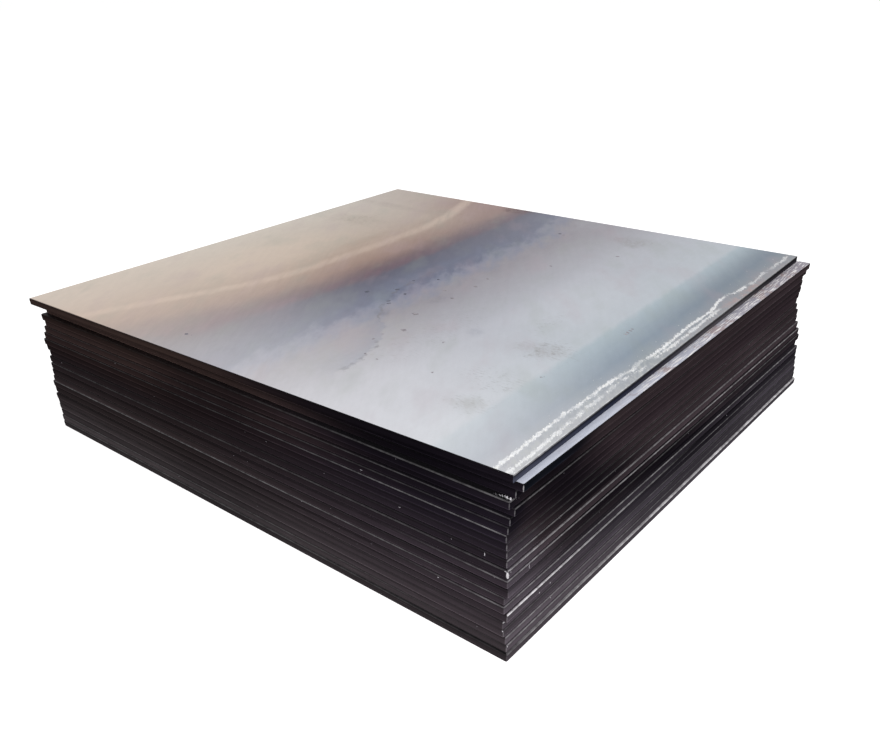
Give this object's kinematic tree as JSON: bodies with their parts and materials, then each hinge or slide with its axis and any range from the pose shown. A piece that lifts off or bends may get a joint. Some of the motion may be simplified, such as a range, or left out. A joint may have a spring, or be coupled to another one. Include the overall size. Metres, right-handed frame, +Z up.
{
  "type": "stack of steel plates",
  "caption": "Stack of thick square hot-rolled steel plates lying flat on one another, with sheared edges that stand slightly out of line; stock for cutting, welding and forming.",
  "frame": {"origin": "middle of the footprint of all the plates together, on the plane of the bottom plate's underside", "axes": "+Z up, square to the plates; +X and +Y along the plates' edges, as the middle plates lie; the knocked front corner is at -X -Y"},
  "size_m": [1.2872, 1.2972, 0.3143],
  "materials": {
    "top_plate": "satin hot-rolled surface, silver grey with tan and slate-blue bands",
    "plate": "dark sheared edges with bright arrises, grey mill surface"
  },
  "bodies": {
    "root": {"plate_01": "plate", "plate_02": "plate", "plate_03": "plate", "plate_04": "plate", "plate_05": "plate", "plate_06": "plate", "plate_07": "plate", "plate_08": "plate", "plate_09": "plate", "plate_10": "plate", "plate_11": "plate", "plate_12": "plate", "plate_13": "plate", "plate_14": "plate", "plate_15": "plate", "plate_16": "plate", "plate_17": "plate", "plate_18": "plate", "plate_19": "plate", "plate_20": "plate", "plate_21": "plate", "plate_22": "top_plate"}
  },
  "joints": []
}
